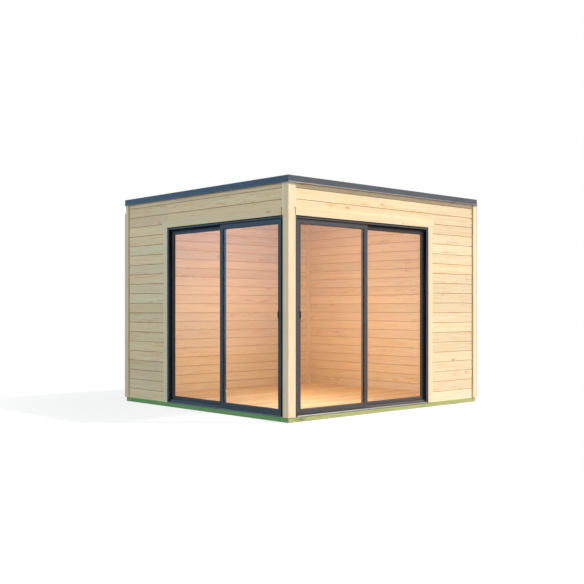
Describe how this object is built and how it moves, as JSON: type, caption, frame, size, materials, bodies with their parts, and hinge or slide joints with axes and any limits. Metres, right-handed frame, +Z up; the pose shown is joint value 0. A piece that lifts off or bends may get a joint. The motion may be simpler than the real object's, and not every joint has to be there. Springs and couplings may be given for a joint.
{
  "type": "log cabin",
  "caption": "Square flat-roofed timber log cabin with V-jointed log walls and glazed aluminium sliding doors that meet at one corner post.",
  "frame": {"origin": "middle of the footprint at ground level, under the bearers", "axes": "+Z up, the front sliding door faces -Y, the left sliding door faces -X, and the near corner post is at -X -Y"},
  "size_m": [3.049, 3.049, 2.444],
  "materials": {
    "treated": "pressure-treated softwood, green",
    "floor": "planed spruce boards",
    "logs": "planed untreated spruce with knots",
    "posts": "planed untreated spruce",
    "casings": "planed untreated spruce",
    "door_frame": "anthracite powder coat, satin",
    "sill": "anthracite powder coat, satin",
    "leaf": "anthracite powder coat, satin",
    "glass": "clear toughened glass",
    "handle": "black powder coat",
    "wheels": "nylon wheels on steel axles",
    "roof_timber": "sawn spruce",
    "roof_sheet": "matt rubber roofing sheet",
    "roof_trim": "anthracite powder coat, satin"
  },
  "bodies": {
    "cabin": {"cross_bearers": "treated", "floor_joists": "treated", "floor_boards": "floor", "front_header": "logs", "front_panel": "logs", "left_header": "logs", "left_panel": "logs", "back_wall": "logs", "right_wall": "logs", "near_post": "posts", "far_posts": "posts", "front_jamb_strip": "posts", "left_jamb_strip": "posts", "corner_cover_boards": "posts", "inner_corner_battens": "posts", "front_casings": "casings", "left_casings": "casings", "front_jambs": "door_frame", "front_head": "door_frame", "left_jambs": "door_frame", "left_head": "door_frame", "front_sill": "sill", "left_sill": "sill", "front_fixed_stiles": "leaf", "front_fixed_rails": "leaf", "left_fixed_stiles": "leaf", "left_fixed_rails": "leaf", "front_fixed_glass": "glass", "left_fixed_glass": "glass", "rafters": "roof_timber", "roof_deck": "roof_timber", "roof_kerb": "roof_timber", "roof_sheet": "roof_sheet", "roof_trims_front_back": "roof_trim", "roof_trims_sides": "roof_trim"},
    "front_slider": {"front_slider_stiles": "leaf", "front_slider_rails": "leaf", "front_slider_glass": "glass", "front_slider_handle": "handle", "front_slider_wheels": "wheels"},
    "left_slider": {"left_slider_stiles": "leaf", "left_slider_rails": "leaf", "left_slider_glass": "glass", "left_slider_handle": "handle", "left_slider_wheels": "wheels"}
  },
  "joints": [
    {"name": "front_door_slide", "type": "slide", "parent": "cabin", "child": "front_slider", "axis": [1, 0, 0], "range_m": [0, 0.94]},
    {"name": "left_door_slide", "type": "slide", "parent": "cabin", "child": "left_slider", "axis": [0, 1, 0], "range_m": [0, 0.94]}
  ]
}
